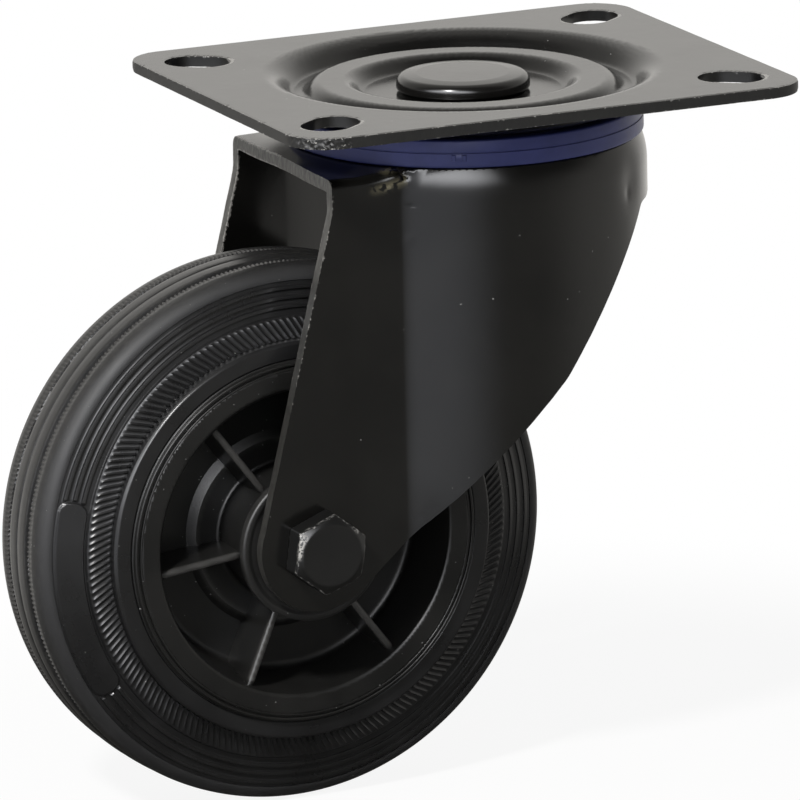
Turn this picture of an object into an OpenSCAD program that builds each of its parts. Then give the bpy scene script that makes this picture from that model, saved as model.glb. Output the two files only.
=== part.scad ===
// Swivel castor with a drawn top plate, a pressed fork and a solid rubber wheel.
// Millimetres, +Z up, origin at the centre of the plate's top face on the swivel axis.
// The wheel trails towards -X and its axle runs along Y.

/* [Mounting plate] */
// Plate length along X
plate_length = 100; // [96:1:112]
// Plate width along Y
plate_width = 85; // [84:1:96]
// Plate sheet thickness
plate_sheet = 2.2; // [2:0.1:2.5]
// Plate corner radius
plate_corner = 8; // [5:0.5:10]
// Distance from a short edge of the plate to the middle of a slot
slot_inset_x = 10.5; // [9.5:0.5:11.5]
// Distance from a long edge of the plate to the middle of a slot
slot_inset_y = 12.25; // [11.5:0.25:13]
// Slot width
slot_width = 9; // [8:0.1:10]
// Slot length from end to end, towards the swivel axis
slot_length = 12; // [10:0.5:13]

/* [Swivel head] */
// Height of the drawn ridge over the upper balls
ridge_z = -1.5; // [-1.8:0.1:-1.2]
// Height of the trough around the ridge
trough_z = -3.6; // [-3.8:0.1:-3.2]
// Height of the floor under the kingpin head
floor_z = -3.8; // [-4.2:0.1:-3.4]
// Distance from the head skirt in to the pitch circle of the upper balls
ring_inset = 9.2; // [8.8:0.1:9.6]
// Upper ball diameter
upper_ball_d = 6; // [5.6:0.1:6.3]
// Pitch radius of the lower balls
lower_pitch_r = 15; // [14.6:0.1:15.4]
// Lower ball diameter
lower_ball_d = 5; // [4.6:0.1:5.2]
// Race groove depth
groove_depth = 0.5; // [0.3:0.05:0.7]
// Lower race cup sheet thickness
cup_sheet = 2.2; // [1.8:0.1:2.8]

/* [Kingpin] */
// Shank radius between the plate and the lower head
pin_r = 8.5; // [7.5:0.1:9]
// Spigot radius through the plate
spigot_r = 6; // [5:0.1:6.5]
// Radius of the riveted top head
rivet_r = 12.2; // [11:0.1:13]
// Height of the riveted top head
rivet_h = 3.3; // [2.6:0.1:3.4]
// Lower head radius
pin_head_r = 11; // [10:0.1:11.5]
// Lower head height
pin_head_h = 3; // [2:0.1:4]

/* [Seal ring] */
// Distance of the outer face inside the head skirt
seal_inset = 0.5; // [0.2:0.1:0.8]
// Gap under the plate
seal_gap = 0.35; // [0.3:0.05:0.8]

/* [Fork] */
// Fork sheet thickness
fork_sheet = 2.5; // [2.2:0.1:2.6]
// Outer radius of the drawn head skirt
head_r = 33.2; // [33:0.1:34]
// Height of the shoulder that carries the seal
shoulder_z = -11.2; // [-11.5:0.1:-11]
// Height of the web behind the head
web_z = -12.5; // [-13:0.1:-12.2]
// Outer radius of the fold between the web and a leg
fold_r = 4; // [3:0.1:5]
// Radius of the vertical crease between the head skirt and a leg
crease_r = 5; // [3:0.1:7]
// Distance from the swivel axis to the rear edge of the web
web_rear = 36.3; // [35.5:0.1:38]
// Height at which the rear edge of a leg starts to slant
rear_break = -18.5; // [-22:0.5:-16]
// Lower edge of the front skirt
skirt_z = -23.5; // [-26:0.5:-22]
// Front end of a leg at the skirt
leg_front = 25.6; // [24.5:0.1:27]
// Knee of the front edge, forward of the swivel axis
knee_x = 5; // [3:0.5:8]
// Knee of the front edge, height
knee_z = -51.4; // [-54:0.5:-49]
// Radius of the leg end around the axle
boss_r = 11.6; // [10:0.1:12.5]

/* [Wheel and axle] */
// Wheel diameter
wheel_d = 100; // [98:1:108]
// Axle distance below the plate's top face
axle_drop = 80; // [78:1:90]
// Trail of the axle behind the swivel axis
trail = 40; // [38:1:44]
// Inside distance between the legs
leg_gap = 40; // [39.5:0.1:42]
// Rim radius under the tyre
rim_r = 33.7; // [33.4:0.1:34]
// Rim width
rim_width = 32; // [31:0.5:33]
// Tyre width at the beads
tyre_width = 30; // [29:0.5:31]
// Distance of the two tread grooves from the wheel's middle
tread_groove = 4.1; // [3:0.1:5]
// Thickness of the wheel web
web_width = 8; // [5:0.5:9]
// Number of ribs on each side
rib_count = 6; // [4:1:8]
// Rib thickness
rib_t = 1.4; // [1:0.1:2]
// Hub tube outer radius
hub_r = 12.4; // [11.5:0.1:13]
// Hub bore radius
bore_r = 9; // [8.8:0.05:9.3]
// Axle sleeve outer radius
sleeve_r = 6; // [5.6:0.05:6.2]
// Axle bolt radius
bolt_r = 4; // [3:0.1:4.2]
// Hexagon width across flats
hex_af = 13; // [12:0.5:14]
// Bolt head height
head_h = 5.4; // [4.5:0.1:6]
// Nut height
nut_h = 8; // [6:0.1:9]
// Number of rollers
roller_count = 10; // [8:1:11]
// Outer radius of a dust cap
cap_r = 14; // [13.5:0.1:15]
// Thickness of a dust cap's disc
cap_t = 1.9; // [1.5:0.1:2.2]

/* [Clearances] */
// Between a ball or roller and its races
race_gap = 0.06; // [0.04:0.01:0.1]
// Least space between two balls of a ring
ball_space = 0.6; // [0.2:0.1:1]
// Between a turning face and a fixed face
run_gap = 0.35; // [0.3:0.05:0.5]
// Radial play of the bolt in its holes
bolt_gap = 0.05; // [0.02:0.01:0.1]

/* [Hidden] */
$fn = 96;

// Slots, and the radii that follow the drawn head
slot_pitch_x = plate_length - 2 * slot_inset_x;
slot_pitch_y = plate_width - 2 * slot_inset_y;
upper_pitch_r = head_r - ring_inset;
seal_r = head_r - seal_inset;
upper_count = floor(180 / asin((upper_ball_d + ball_space) / 2 / upper_pitch_r));
lower_count = floor(180 / asin((lower_ball_d + ball_space) / 2 / lower_pitch_r));

// Drawn plate, upper race and crown heights
ridge_under = ridge_z - plate_sheet;
floor_under = floor_z - plate_sheet;
trough_under = trough_z - plate_sheet;
upper_ball_z = ridge_under + groove_depth - upper_ball_d / 2 - race_gap;
crown_z = upper_ball_z - upper_ball_d / 2 - race_gap + groove_depth;
crown_under = crown_z - fork_sheet;
lower_ball_z = crown_under + groove_depth - lower_ball_d / 2 - race_gap;
cup_z = lower_ball_z - lower_ball_d / 2 - race_gap + groove_depth;
cup_under = cup_z - cup_sheet;
cup_rim_r = lower_pitch_r + lower_ball_d / 2 + 0.8;
cup_rim_z = crown_under - 0.8;
crown_hole_r = pin_r + 2;

// Plate draw, as radii of the top face
ridge_in_r = upper_pitch_r - 3.2;
ridge_out_r = upper_pitch_r + 3.2;
floor_r = ridge_in_r - 2.2;
trough_in_r = ridge_out_r + 1.7;
trough_out_r = trough_in_r + 2.5;
roll_r = trough_out_r + 2.8;
flat_r = roll_r + 3.2;

// Fork plan and side
leg_out = leg_gap / 2 + fork_sheet;
leg_in = leg_gap / 2;
crease_x = sqrt(pow(head_r + crease_r, 2) - pow(leg_out + crease_r, 2));
crease_c = [-crease_x, -leg_out - crease_r];
crease_end = crease_c * head_r / (head_r + crease_r);
step_r = upper_pitch_r + 3;
step_drop = crown_z - shoulder_z;
step_end_r = step_r + step_drop;
axle = [-trail, -axle_drop];
fork_low = -axle_drop - boss_r - 5;
far = 60;

// Wheel
wheel_r = wheel_d / 2;
cap_out = leg_in - run_gap;
cap_in = cap_out - cap_t;
roller_d = bore_r - sleeve_r - 2 * race_gap;
roller_pitch = (bore_r + sleeve_r) / 2;
spigot_l = 2;
cage_half = cap_in - spigot_l - run_gap;
roller_half = cage_half - 1.6;
recess_r = rim_r - 5.3;
recess_floor_r = recess_r - 2;
sharp = 1 / cos(30);
hex_turn = 22;
chamfer = 30;

// Helpers: a rounded track and a sheet of even thickness along it
function unit(v) = v / norm(v);
function left(v) = [-v[1], v[0]];
function spot(p) = [p[0], p[1]];
function bend(a, b, c, s, n) =
    let (u = unit(spot(b) - spot(a)))
    let (w = unit(spot(c) - spot(b)))
    let (turn = sign(u[0] * w[1] - u[1] * w[0]))
    let (angle = acos(max(-1, min(1, u * w))))
    let (start = spot(b) - u * b[2] * tan(angle / 2))
    let (centre = start + turn * b[2] * left(u))
    let (from = atan2(start[1] - centre[1], start[0] - centre[0]))
    [for (i = [0:n]) let (q = from + turn * angle * i / n) centre + (b[2] - turn * s) * [cos(q), sin(q)]];
function track(p, s = 0, n = 6) =
    let (m = len(p) - 1)
    let (first = spot(p[0]) + s * left(unit(spot(p[1]) - spot(p[0]))))
    let (last = spot(p[m]) + s * left(unit(spot(p[m]) - spot(p[m - 1]))))
    concat([first], [for (i = [1:m - 1]) each bend(p[i - 1], p[i], p[i + 1], s, n)], [last]);
function reversed(p) = [for (i = [len(p) - 1:-1:0]) p[i]];
function sheet(p, t) = concat(track(p), reversed(track(p, -t)));
function tangent(p, c, r, side) =
    let (d = spot(p) - c)
    let (q = atan2(d[1], d[0]) + side * acos(r / norm(d)))
    c + r * [cos(q), sin(q)];

module at_axle() {
    translate([-trail, 0, -axle_drop])
        rotate([90, 0, 0])
            children();
}

module along_y(half) {
    rotate([90, 0, 0])
        linear_extrude(height = 2 * half, center = true)
            children();
}

module along_x(x0, x1) {
    translate([x0, 0, 0])
        rotate([90, 0, 90])
            linear_extrude(height = x1 - x0)
                children();
}

module torus(r, z, section) {
    rotate_extrude()
        translate([r, z])
            circle(r = section);
}

// Top plate: a drawn sheet with a ball race under the ridge and four slots that point at the swivel axis
plate_path = [
    [spigot_r, floor_z, 0],
    [floor_r, floor_z, 2],
    [ridge_in_r, ridge_z, 2.6],
    [ridge_out_r, ridge_z, 2.6],
    [trough_in_r, trough_z, 1.2],
    [trough_out_r, trough_z, 1.4],
    [roll_r, 0, 5],
    [flat_r, 0, 0]];

module plate_outline() {
    square([plate_length - 2 * plate_corner, plate_width], center = true);
    square([plate_length, plate_width - 2 * plate_corner], center = true);
    for (x = [-1, 1])
        for (y = [-1, 1])
            translate([x * (plate_length / 2 - plate_corner), y * (plate_width / 2 - plate_corner)])
                circle(r = plate_corner);
}

module slot() {
    run = slot_length - slot_width;
    square([run, slot_width], center = true);
    for (x = [-1, 1])
        translate([x * run / 2, 0])
            circle(d = slot_width);
}

module slots() {
    turn = atan2(slot_pitch_y, slot_pitch_x);
    for (x = [-1, 1])
        for (y = [-1, 1])
            translate([x * slot_pitch_x / 2, y * slot_pitch_y / 2])
                rotate(x * y * turn)
                    slot();
}

module top_plate() {
    color([0.13, 0.13, 0.13])
        difference() {
            union() {
                translate([0, 0, -plate_sheet])
                    linear_extrude(height = plate_sheet)
                        difference() {
                            plate_outline();
                            slots();
                            circle(r = flat_r - 0.4);
                        }
                rotate_extrude()
                    polygon(sheet(plate_path, plate_sheet));
            }
            torus(upper_pitch_r, upper_ball_z, upper_ball_d / 2 + race_gap);
        }
}

// Kingpin: stepped pin, riveted over the plate's floor
module kingpin() {
    edge = rivet_h * 0.75;
    top = floor_z + rivet_h;
    low = cup_under - pin_head_h;
    profile = concat(
        [[0, low], [pin_head_r - 1, low], [pin_head_r, low + 1]],
        [[pin_head_r, cup_under], [pin_r, cup_under], [pin_r, floor_under]],
        [[spigot_r, floor_under], [spigot_r, floor_z], [rivet_r - 0.4, floor_z]],
        [for (q = [0:15:90]) [rivet_r - edge + edge * cos(q), top - edge + edge * sin(q)]],
        [[0, top]]);
    color([0.16, 0.16, 0.16])
        rotate_extrude()
            polygon(profile);
}

// Lower race cup, pressed on the kingpin
module lower_cup() {
    path = [[pin_r, cup_z, 0], [cup_rim_r, cup_z, 1.2], [cup_rim_r, cup_rim_z, 0]];
    color([0.55, 0.55, 0.52])
        difference() {
            rotate_extrude()
                polygon(sheet(path, cup_sheet));
            torus(lower_pitch_r, lower_ball_z, lower_ball_d / 2 + race_gap);
        }
}

module ball_ring(count, pitch, z, d) {
    for (i = [0:count - 1])
        rotate(i * 360 / count)
            translate([pitch, 0, z])
                sphere(d = d);
}

module upper_balls() {
    color([0.75, 0.75, 0.76])
        ball_ring(upper_count, upper_pitch_r, upper_ball_z, upper_ball_d);
}

module lower_balls() {
    color([0.75, 0.75, 0.76])
        ball_ring(lower_count, lower_pitch_r, lower_ball_z, lower_ball_d);
}

// Seal ring: stands on the fork's shoulder and closes the gap under the plate
module seal_ring() {
    top = trough_under - seal_gap;
    mid = (top + shoulder_z) / 2;
    seat = head_r - fork_sheet - 0.7;
    profile = [
        [seat, shoulder_z], [seal_r - 0.3, shoulder_z], [seal_r, shoulder_z + 0.3],
        [seal_r, mid - 0.1], [seal_r - 0.25, mid + 0.1], [seal_r - 0.25, top + 0.3],
        [seal_r - 0.55, top], [seat - 1, top], [seat - 1, top - 1.6], [seat, top - 1.6]];
    color([0.09, 0.1, 0.24])
        rotate_extrude()
            polygon(profile);
}

// Fork: one pressed sheet, a drawn round head that turns into two flat legs
head_path = [
    [0, crown_z, 0],
    [step_r, crown_z, fork_sheet + 0.1],
    [step_end_r, shoulder_z, 0.8],
    [head_r, shoulder_z, fork_sheet + 0.1],
    [head_r, fork_low, 0]];

module head_solid(s) {
    rotate_extrude()
        polygon(concat(track(head_path, s), [[0, fork_low]]));
}

module channel(half, top, r, x0) {
    along_x(x0, -web_rear / 2) {
        translate([-half, fork_low])
            square([2 * half, top - r - fork_low]);
        translate([r - half, fork_low])
            square([2 * (half - r), top - fork_low]);
        for (y = [-1, 1])
            translate([y * (half - r), top - r])
                circle(r = r);
    }
}

module crease() {
    translate([0, 0, fork_low])
        linear_extrude(height = web_z - fork_sheet - fork_low)
            difference() {
                polygon([[-crease_x, 1 - leg_out], crease_c, crease_end, 0.94 * crease_end]);
                translate(crease_c)
                    circle(r = crease_r);
            }
}

module dome() {
    rise = shoulder_z - web_z;
    intersection() {
        rotate_extrude()
            polygon([[head_r - 6, web_z - 0.5], [head_r - 2, shoulder_z], [head_r + 4 * rise, web_z],
                [head_r + 4 * rise, web_z - 0.5]]);
        translate([-far, fold_r - leg_out, web_z - 1])
            cube([far - web_rear / 2, 2 * (leg_out - fold_r), 4]);
    }
}

module fork_outside() {
    head_solid(0);
    channel(leg_out, web_z, fold_r, -far);
    dome();
    crease();
    mirror([0, 1, 0])
        crease();
}

module fork_inside() {
    head_solid(-fork_sheet);
    channel(leg_in, web_z - fork_sheet, fold_r - fork_sheet, -far - 1);
}

module leg_side() {
    knee = [knee_x, knee_z, 20];
    heel = tangent(knee, axle, 0.995 * boss_r, -1);
    back = [-web_rear, rear_break, 8];
    hock = tangent(back, axle, 0.995 * boss_r, 1);
    front = track([[far, skirt_z, 0], [leg_front, skirt_z, 1.5], knee, [heel[0], heel[1], 0]]);
    rear = track([[hock[0], hock[1], 0], back, [-web_rear, far / 4, 0]]);
    polygon(concat(front, rear, [[far, far / 4]]));
}

module leg_prism() {
    along_y(far)
        leg_side();
    along_y(far)
        translate(axle)
            circle(r = boss_r);
}

module fork() {
    color([0.11, 0.11, 0.11])
        difference() {
            intersection() {
                difference() {
                    fork_outside();
                    fork_inside();
                }
                leg_prism();
            }
            translate([0, 0, crown_under - 1])
                cylinder(r = crown_hole_r, h = fork_sheet + 2);
            torus(upper_pitch_r, upper_ball_z, upper_ball_d / 2 + race_gap);
            torus(lower_pitch_r, lower_ball_z, lower_ball_d / 2 + race_gap);
            at_axle()
                cylinder(r = bolt_r + bolt_gap, h = 2 * far, center = true);
        }
}

// Axle: bolt, nut with its locking ring, and the sleeve that the legs clamp
module hexagon(h) {
    face_r = hex_af / 2 - 0.3;
    reach = 3;
    intersection() {
        rotate(hex_turn)
            cylinder(d = hex_af * sharp, h = h, $fn = 6);
        rotate_extrude()
            polygon([[0, -1], [face_r + reach, -1], [face_r + reach, h - reach * tan(chamfer)],
                [face_r, h], [0, h]]);
    }
}

module axle_bolt() {
    reach = leg_out + nut_h + 2;
    color([0.17, 0.17, 0.17])
        at_axle() {
            translate([0, 0, leg_out])
                hexagon(head_h);
            translate([0, 0, -reach])
                cylinder(r = bolt_r, h = reach + leg_out + 1);
        }
}

module axle_nut() {
    ring_r = hex_af / 2 - 1.5;
    color([0.62, 0.62, 0.6])
        at_axle()
            rotate([180, 0, 0])
                translate([0, 0, leg_out])
                    difference() {
                        union() {
                            hexagon(nut_h - 1.6);
                            cylinder(r = hex_af / 2 - 0.5, h = nut_h);
                        }
                        translate([0, 0, -1])
                            cylinder(r = bolt_r + bolt_gap, h = nut_h + 2);
                        translate([0, 0, nut_h - 2])
                            cylinder(r = ring_r, h = 1.4);
                        translate([0, 0, nut_h - 1])
                            cylinder(r = ring_r - 0.5, h = 2);
                    }
}

module nut_insert() {
    ring_r = hex_af / 2 - 1.5;
    color([0.2, 0.3, 0.6])
        at_axle()
            rotate([180, 0, 0])
                translate([0, 0, leg_out + nut_h - 2])
                    difference() {
                        cylinder(r = ring_r, h = 1.4);
                        translate([0, 0, -1])
                            cylinder(r = bolt_r + bolt_gap, h = 4);
                    }
}

module axle_sleeve() {
    color([0.6, 0.6, 0.58])
        at_axle()
            difference() {
                cylinder(r = sleeve_r, h = leg_gap, center = true);
                cylinder(r = bolt_r + bolt_gap, h = leg_gap + 2, center = true);
            }
}

// Roller bearing: a caged set of rollers between the sleeve and the hub
module roller_places() {
    for (i = [0:roller_count - 1])
        rotate(i * 360 / roller_count)
            translate([roller_pitch, 0, 0])
                children();
}

module rollers() {
    color([0.75, 0.75, 0.76])
        at_axle()
            roller_places()
                cylinder(d = roller_d, h = 2 * roller_half, center = true);
}

module roller_cage() {
    wall = 0.3;
    color([0.75, 0.72, 0.6])
        at_axle()
            difference() {
                cylinder(r = bore_r - wall, h = 2 * cage_half, center = true);
                cylinder(r = sleeve_r + wall, h = 2 * cage_half + 2, center = true);
                roller_places()
                    cylinder(d = roller_d + 2 * race_gap, h = 2 * roller_half + 0.2, center = true);
            }
}

// Wheel centre: rim, web, ribs and hub in one moulding
module wheel_centre() {
    rim_h = rim_width / 2;
    web_h = web_width / 2;
    rib_h = rim_h - 1.5;
    dish = [[hub_r, far, 0], [hub_r, web_h, 5.5], [recess_floor_r, web_h, 2.7], [recess_r, far, 0]];
    color([0.1, 0.1, 0.1])
        at_axle()
            difference() {
                union() {
                    difference() {
                        union() {
                            cylinder(r = rim_r, h = tyre_width, center = true);
                            cylinder(r = rim_r - 0.6, h = rim_width, center = true);
                        }
                        rotate_extrude()
                            polygon(track(dish));
                        mirror([0, 0, 1])
                            rotate_extrude()
                                polygon(track(dish));
                    }
                    for (i = [0:rib_count - 1])
                        rotate(7 + i * 360 / rib_count)
                            translate([hub_r - 1, -rib_t / 2, -rib_h])
                                cube([recess_r + 2 - hub_r, rib_t, 2 * rib_h]);
                    cylinder(r = hub_r, h = 2 * cap_in, center = true);
                }
                cylinder(r = bore_r, h = leg_gap, center = true);
            }
}

// Tyre: solid rubber, with beads, three rings on each side and a crowned tread with two grooves
module tyre() {
    bead = tyre_width / 2;
    hatch = bead - 2;
    side = [
        [rim_r, bead - 0.2], [rim_r + 0.4, bead], [rim_r + 2.9, bead], [rim_r + 3.4, bead - 0.5],
        [rim_r + 3.5, hatch], [wheel_r - 9, hatch - 1], [wheel_r - 8.6, hatch - 1.6],
        [wheel_r - 7.6, hatch - 1.8], [wheel_r - 7.4, hatch - 1.2], [wheel_r - 6.8, hatch - 1.4],
        [wheel_r - 6.4, hatch - 2], [wheel_r - 6, hatch - 2.1], [wheel_r - 5.8, hatch - 1.6],
        [wheel_r - 5.2, hatch - 1.8], [wheel_r - 4.8, hatch - 2.5], [wheel_r - 4.3, hatch - 2.6],
        [wheel_r - 4.1, hatch - 2.1], [wheel_r - 3.5, hatch - 2.4], [wheel_r - 3.1, hatch - 3],
        [wheel_r - 2.6, hatch - 2.7], [wheel_r - 1.5, hatch - 3.7], [wheel_r - 0.6, hatch - 5.2],
        [wheel_r - 0.25, hatch - 6.4], [wheel_r - 0.2, tread_groove + 0.5],
        [wheel_r - 0.8, tread_groove + 0.3], [wheel_r - 0.8, tread_groove - 0.3],
        [wheel_r - 0.1, tread_groove - 0.5], [wheel_r, tread_groove / 2]];
    back = [for (p = reversed(side)) [p[0], -p[1]]];
    color([0.07, 0.07, 0.07])
        at_axle()
            rotate_extrude()
                polygon(concat(side, back));
}

// Dust caps: pressed into each end of the hub
module dust_cap() {
    color([0.12, 0.12, 0.12])
        at_axle()
            difference() {
                union() {
                    translate([0, 0, cap_in])
                        cylinder(r = cap_r, h = cap_t);
                    translate([0, 0, cap_in - spigot_l])
                        cylinder(r = bore_r, h = spigot_l + 1);
                }
                cylinder(r = sleeve_r + run_gap, h = leg_gap);
            }
}

module dust_cap_near() {
    dust_cap();
}

module dust_cap_far() {
    mirror([0, 1, 0])
        dust_cap();
}

top_plate();
kingpin();
lower_cup();
upper_balls();
lower_balls();
seal_ring();
fork();
axle_bolt();
axle_nut();
nut_insert();
axle_sleeve();
roller_cage();
rollers();
wheel_centre();
tyre();
dust_cap_near();
dust_cap_far();
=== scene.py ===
import bpy
import math
import numpy as np
from mathutils import Matrix, Vector


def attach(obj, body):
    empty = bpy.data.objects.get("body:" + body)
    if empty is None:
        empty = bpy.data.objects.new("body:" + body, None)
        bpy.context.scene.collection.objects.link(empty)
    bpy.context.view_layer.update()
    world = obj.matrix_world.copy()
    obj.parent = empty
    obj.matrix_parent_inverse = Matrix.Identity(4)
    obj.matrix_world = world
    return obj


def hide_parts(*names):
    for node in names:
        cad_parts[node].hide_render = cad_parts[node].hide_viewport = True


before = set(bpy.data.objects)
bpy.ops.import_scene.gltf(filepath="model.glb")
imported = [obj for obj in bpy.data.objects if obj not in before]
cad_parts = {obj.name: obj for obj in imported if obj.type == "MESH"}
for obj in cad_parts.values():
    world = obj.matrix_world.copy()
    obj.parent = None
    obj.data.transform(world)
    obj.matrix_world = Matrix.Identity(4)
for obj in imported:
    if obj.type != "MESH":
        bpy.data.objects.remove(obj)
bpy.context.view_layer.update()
print("frame loaded:", len(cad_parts), "nodes")

mm = 0.001
tau = 2 * math.pi
axleX, axleZ = -40.0, -80.0  # axle line in the side view, millimetres
floorZ = -130.0
edgeSink = 0.293  # a rounded edge lies this share of its radius inside the sharp one


# outlines, all in millimetres
def arcCorner(a, b, c, radius, count):
    u = np.subtract(b, a) / np.hypot(*np.subtract(b, a))
    w = np.subtract(c, b) / np.hypot(*np.subtract(c, b))
    turn = np.sign(u[0] * w[1] - u[1] * w[0])
    angle = math.acos(max(-1.0, min(1.0, float(u @ w))))
    start = np.array(b) - u * radius * math.tan(angle / 2)
    centre = start + turn * radius * np.array([-u[1], u[0]])
    first = math.atan2(*(start - centre)[::-1])
    steps = first + turn * angle * np.linspace(0, 1, count)
    return [tuple(centre + radius * np.array([math.cos(q), math.sin(q)])) for q in steps]


def rounded(path, closed=False, count=7):
    points, last = [], len(path) - 1
    for i, (u, v, radius) in enumerate(path):
        if radius == 0 or (not closed and i in (0, last)):
            points.append((u, v))
        else:
            points += arcCorner(path[i - 1][:2], (u, v), path[(i + 1) % len(path)][:2], radius, count)
    return points


def tangent(p, centre, radius, side):
    d = np.subtract(p, centre)
    q = math.atan2(d[1], d[0]) + side * math.acos(radius / np.hypot(*d))
    return centre[0] + radius * math.cos(q), centre[1] + radius * math.sin(q)


# distance fields: negative inside, arrays of any shape
def lineDistance(u, v, points):
    best = None
    for (a, b), (c, d) in zip(points[:-1], points[1:]):
        du, dv = c - a, d - b
        t = np.clip(((u - a) * du + (v - b) * dv) / (du * du + dv * dv + 1e-12), 0, 1)
        gap = np.square(u - a - t * du) + np.square(v - b - t * dv)
        best = gap if best is None else np.minimum(best, gap)
    return np.sqrt(best)


def outlineDistance(u, v, points):
    loop = list(points) + [points[0]]
    inside = False
    for (a, b), (c, d) in zip(loop[:-1], loop[1:]):
        if b != d:
            inside = inside ^ (((b > v) != (d > v)) & (u < (c - a) * (v - b) / (d - b) + a))
    return np.where(inside, -1.0, 1.0) * lineDistance(u, v, loop)


def both(a, b, radius):  # common part, outer edge rounded
    u, v = np.maximum(a + radius, 0), np.maximum(b + radius, 0)
    return np.minimum(np.maximum(a, b), -radius) + np.sqrt(u * u + v * v)


def either(a, b, radius):  # joined, inner corner filled
    u, v = np.maximum(radius - a, 0), np.maximum(radius - b, 0)
    return np.maximum(np.minimum(a, b), radius) - np.sqrt(u * u + v * v)


def ease(x, low, high):
    t = np.clip((x - low) / (high - low), 0, 1)
    return t * t * (3 - 2 * t)


def wave(x, y, z, scale, seed):  # slow seeded ripple between -1 and 1
    a, b, c = (seed * 1.7) % tau, (seed * 2.9) % tau, (seed * 4.3) % tau
    x, y, z = x / scale, y / scale, z / scale
    return (np.sin(1.9 * x + 0.7 * y + 1.1 * z + a) + np.sin(-0.8 * x + 1.7 * y + 1.5 * z + b)
            + np.sin(1.2 * x - 1.4 * y + 0.9 * z + c)) / 3


# skin of a distance field: one point in each crossed cell, settled on the surface
def skinField(field, low, high, step, ridges=None, edge=0.0):
    axes = [np.arange(a - step, b + 2 * step, step) for a, b in zip(low, high)]
    origin = np.array([a[0] for a in axes])
    sizes = [len(a) for a in axes]
    grid = [a.reshape([-1 if i == k else 1 for i in range(3)]) for k, a in enumerate(axes)]
    values = np.broadcast_to(field(*grid), sizes).astype(np.float32)
    inside = values < 0
    corners = [(i, j, k) for i in (0, 1) for j in (0, 1) for k in (0, 1)]
    cut = [slice(0, -1), slice(1, None)]
    count = sum(inside[cut[i], cut[j], cut[k]].astype(np.int8) for i, j, k in corners)
    cells = np.argwhere((count > 0) & (count < 8))
    number = np.full([n - 1 for n in sizes], -1, np.int64)
    number[tuple(cells.T)] = np.arange(len(cells))
    at = {c: values[tuple((cells + c).T)] for c in corners}
    total, hits = np.zeros((len(cells), 3)), np.zeros(len(cells))
    for c in corners:
        for k in range(3):
            if c[k] == 0:
                e = tuple(1 if i == k else v for i, v in enumerate(c))
                crossed = (at[c] < 0) != (at[e] < 0)
                t = at[c] / np.where(crossed, at[c] - at[e], 1)
                spot = np.tile(np.array(c, float), (len(cells), 1))
                spot[:, k] = t
                total[crossed] += spot[crossed]
                hits += crossed
    points = origin + step * (cells + total / hits[:, None])
    for turn in range(4):
        value, slope = fieldSlope(field, points)
        move = value[:, None] * slope / np.maximum((slope * slope).sum(1), 0.2)[:, None]
        points -= np.clip(move, -step / 2, step / 2)
    marked, sides = np.zeros(len(points), bool), None
    if ridges:
        marked, sides = settleRidges(points, origin + step * cells, step, ridges, -edgeSink * edge)
    faces = []
    for k, (p, q) in enumerate(((1, 2), (2, 0), (0, 1))):
        a = [slice(1, -1)] * 3
        b = [slice(1, -1)] * 3
        a[k], b[k] = slice(0, -1), slice(1, None)
        for flip in (False, True):
            first, second = (b, a) if flip else (a, b)
            where = np.argwhere(inside[tuple(first)] & ~inside[tuple(second)])
            where[:, [i for i in range(3) if i != k]] += 1
            ring = []
            for dp, dq in ((1, 1), (0, 1), (0, 0), (1, 0)):
                cell = where.copy()
                cell[:, p] -= dp
                cell[:, q] -= dq
                ring.append(number[tuple(cell.T)])
            ring = np.stack(ring[::-1] if flip else ring, 1)
            faces.append(ring)
    faces = np.concatenate(faces)
    if enclosed(points, faces) < 0:
        faces = faces[:, ::-1]
    across = marked[faces[:, 0]] & marked[faces[:, 2]]
    along = marked[faces[:, 1]] & marked[faces[:, 3]] & ~across  # quads are split along the ridge
    groups = [faces[~(across | along)], faces[across][:, [0, 1, 2]], faces[across][:, [0, 2, 3]],
              faces[along][:, [0, 1, 3]], faces[along][:, [1, 2, 3]]]
    value, slope = fieldSlope(field, points)
    normals = slope / np.linalg.norm(slope, axis=1)[:, None]
    if ridges:
        normals = np.concatenate([cornerNormals(points, group, normals, marked, sides) for group in groups])
    return points, [face for group in groups for face in group.tolist()], normals


def enclosed(points, faces):  # six times the volume, negative for a skin that faces in
    total = 0.0
    for k in range(1, faces.shape[1] - 1):
        sweep = np.cross(points[faces[:, k]], points[faces[:, k + 1]])
        total += np.einsum("ij,ij->i", points[faces[:, 0]], sweep).sum()
    return total


# a face that touches a sharp edge is shaded by its own side of that edge
def cornerNormals(points, faces, normals, marked, sides):
    spots = points[faces]
    flat = np.cross(spots[:, 2] - spots[:, 0], spots[:, -1] - spots[:, 1])[:, None]
    first, second = sides[0][faces], sides[1][faces]
    own = np.where(((first * flat).sum(2) > (second * flat).sum(2))[..., None], first, second)
    return np.where(marked[faces][..., None], own, normals[faces]).reshape(-1, 3)


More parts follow.
